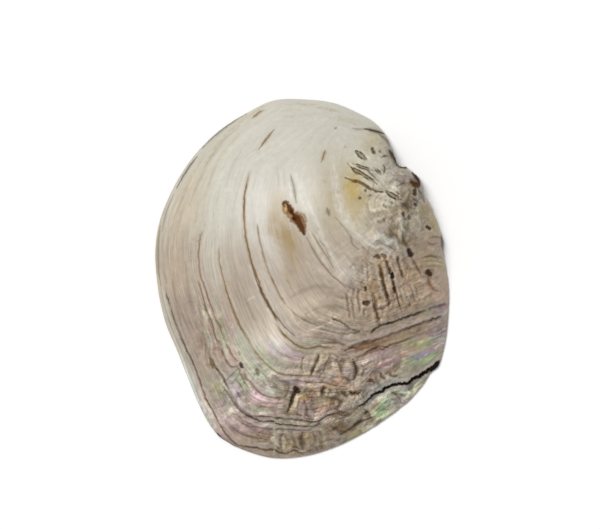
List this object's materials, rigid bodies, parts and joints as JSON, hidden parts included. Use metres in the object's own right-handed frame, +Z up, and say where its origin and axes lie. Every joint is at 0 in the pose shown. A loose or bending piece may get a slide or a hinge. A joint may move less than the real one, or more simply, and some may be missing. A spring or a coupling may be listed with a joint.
{
  "type": "pearl oyster shell",
  "caption": "Domed valve of a polished pearl oyster shell with growth ledges, folds, worm pits and an open crack, hollow beneath.",
  "frame": {"origin": "middle of the valve's bounding box, on the surface that its rim rests on", "axes": "+Y along the valve's length to its front end, +X to the hinge side, +Z up through the crown of the dome"},
  "size_m": [0.131, 0.1605, 0.0342],
  "materials": {
    "polished_nacre": "polished mother of pearl with growth bands, brown stains and faint iridescence"
  },
  "bodies": {
    "root": {"pearl_shell_valve": "polished_nacre"}
  },
  "joints": []
}
